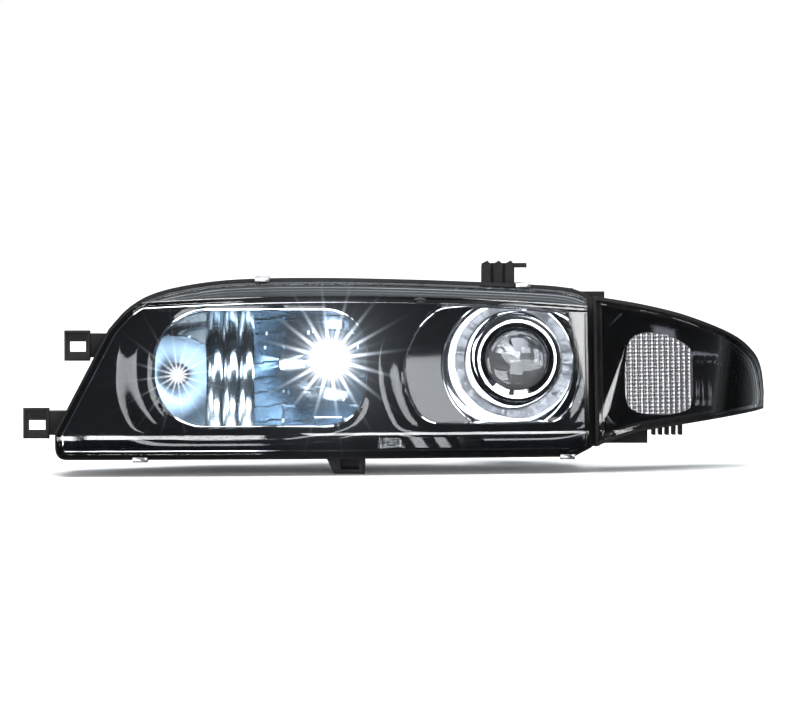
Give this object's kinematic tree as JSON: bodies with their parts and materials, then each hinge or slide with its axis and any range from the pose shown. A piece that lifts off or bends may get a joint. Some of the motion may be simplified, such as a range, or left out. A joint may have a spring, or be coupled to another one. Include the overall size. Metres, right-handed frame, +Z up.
{
  "type": "car headlamp",
  "caption": "Left-hand car headlamp with a bulb high beam, a projector low beam and a smoked wrap-round corner lamp, with aiming screws, twist-off rear covers and body brackets.",
  "frame": {"origin": "on the upper face of the top bracket's bolting pad", "axes": "+Z up, +X outboard towards the wing, the lamp shines towards -Y"},
  "size_m": [0.663, 0.2738, 0.1865],
  "materials": {
    "housing_black": "fine-grained moulded polypropylene",
    "bracket_grey": "matte glass-filled nylon",
    "clear_lens": "polished clear cover",
    "smoked_lens": "polished smoked cover",
    "clear_optic": "clear fluted optic",
    "bulb_glass": "clear bulb envelope",
    "lens_glass": "ground and polished glass",
    "rubber": "soft black rubber",
    "gloss_black": "gloss black bezel",
    "chrome_trim": "vacuum-metallised trim",
    "reflector_chrome": "vacuum-metallised reflector",
    "dark_chrome": "smoked vacuum-metallised reflector",
    "zinc": "zinc-plated spring steel",
    "steel": "bright steel",
    "dark_steel": "black-painted pressed steel",
    "cast_aluminium": "die-cast aluminium",
    "nylon": "natural nylon"
  },
  "bodies": {
    "housing": {"main_housing": "housing_black", "main_lens": "clear_lens", "main_lens_seal": "rubber", "bezel_mask": "gloss_black", "bezel_window_insert": "chrome_trim", "high_beam_trim_ring": "chrome_trim", "projector_shroud": "chrome_trim", "upper_inner_lens_clip": "zinc", "upper_outer_lens_clip": "zinc", "lower_inner_lens_clip": "zinc", "lower_outer_lens_clip": "zinc", "upper_grille_bracket": "bracket_grey", "lower_grille_bracket": "bracket_grey", "top_mount_bracket": "bracket_grey", "lower_mount_bracket": "bracket_grey", "corner_housing": "housing_black", "corner_lens": "smoked_lens", "corner_lens_seal": "rubber", "corner_inner_optic": "clear_optic", "corner_reflector": "dark_chrome", "corner_lamp_screw": "zinc", "top_bracket_screw": "zinc", "pivot_ball_stud": "steel", "vent_cap": "rubber", "wiring_grommet": "rubber"},
    "vertical_adjuster": {"vertical_adjuster_screw": "steel", "vertical_adjuster_knob": "nylon"},
    "horizontal_adjuster": {"horizontal_adjuster_screw": "steel", "horizontal_adjuster_knob": "nylon"},
    "swivel_nut": {"horizontal_adjuster_nut": "nylon"},
    "optics_carrier": {"carrier_frame": "dark_steel", "pivot_socket": "nylon", "vertical_adjuster_nut": "nylon", "high_beam_reflector": "reflector_chrome", "high_beam_bulb": "bulb_glass", "high_beam_bulb_base": "zinc", "high_beam_glare_shield": "reflector_chrome", "projector_lens": "lens_glass", "projector_lens_retainer": "chrome_trim", "projector_lens_holder": "cast_aluminium", "cutoff_shield": "dark_steel", "projector_bowl": "reflector_chrome", "low_beam_bulb": "bulb_glass", "low_beam_bulb_base": "zinc"},
    "high_beam_clip": {"high_beam_bulb_clip": "steel"},
    "low_beam_clip": {"low_beam_bulb_clip": "steel"},
    "position_lamp": {"position_bulb": "bulb_glass", "position_bulb_holder": "bracket_grey"},
    "turn_lamp": {"turn_bulb": "bulb_glass", "turn_bulb_holder": "bracket_grey"},
    "high_beam_cover": {"high_beam_cap": "housing_black", "high_beam_cap_seal": "rubber"},
    "low_beam_cover": {"low_beam_cap": "housing_black", "low_beam_cap_seal": "rubber"}
  },
  "joints": [
    {"name": "vertical_adjuster_turn", "type": "hinge", "parent": "housing", "child": "vertical_adjuster", "pos_m": [-0.08, 0.01, -0.135], "axis": [0, 1, 0], "range_deg": [-720, 720]},
    {"name": "horizontal_adjuster_turn", "type": "hinge", "parent": "housing", "child": "horizontal_adjuster", "pos_m": [-0.253, 0.01, -0.04], "axis": [0, 1, 0], "range_deg": [-1080, 1080]},
    {"name": "horizontal_aim", "type": "hinge", "parent": "housing", "child": "swivel_nut", "pos_m": [-0.08, 0.01, -0.04], "axis": [0, 0, 1], "range_deg": [-1.49, 1.49]},
    {"name": "vertical_aim", "type": "hinge", "parent": "swivel_nut", "child": "optics_carrier", "pos_m": [-0.08, 0.01, -0.04], "axis": [1, 0, 0], "range_deg": [-1.8, 1.8]},
    {"name": "high_beam_clip_swing", "type": "hinge", "parent": "optics_carrier", "child": "high_beam_clip", "pos_m": [-0.1605, 0.0034, -0.0555], "axis": [1, 0, 0], "range_deg": [0, 80]},
    {"name": "low_beam_clip_swing", "type": "hinge", "parent": "optics_carrier", "child": "low_beam_clip", "pos_m": [0.0063, 0.0574, -0.064], "axis": [1, 0, 0], "range_deg": [0, 55]},
    {"name": "position_holder_twist", "type": "hinge", "parent": "optics_carrier", "child": "position_lamp", "pos_m": [-0.296, -0.036, -0.099], "axis": [0, 1, 0], "range_deg": [0, 45]},
    {"name": "turn_holder_twist", "type": "hinge", "parent": "housing", "child": "turn_lamp", "pos_m": [0.136, 0.024, -0.096], "axis": [0, 1, 0], "range_deg": [0, 45]},
    {"name": "high_beam_cap_twist", "type": "hinge", "parent": "housing", "child": "high_beam_cover", "pos_m": [-0.1605, 0.044, -0.0855], "axis": [0, 1, 0], "range_deg": [0, 45]},
    {"name": "low_beam_cap_twist", "type": "hinge", "parent": "housing", "child": "low_beam_cover", "pos_m": [0.0063, 0.044, -0.085], "axis": [0, 1, 0], "range_deg": [0, 45]}
  ],
  "couplings": [
    {"joint": "vertical_adjuster_turn", "follows": "vertical_aim", "ratio": 397.94},
    {"joint": "horizontal_adjuster_turn", "follows": "horizontal_aim", "ratio": 724.66}
  ]
}
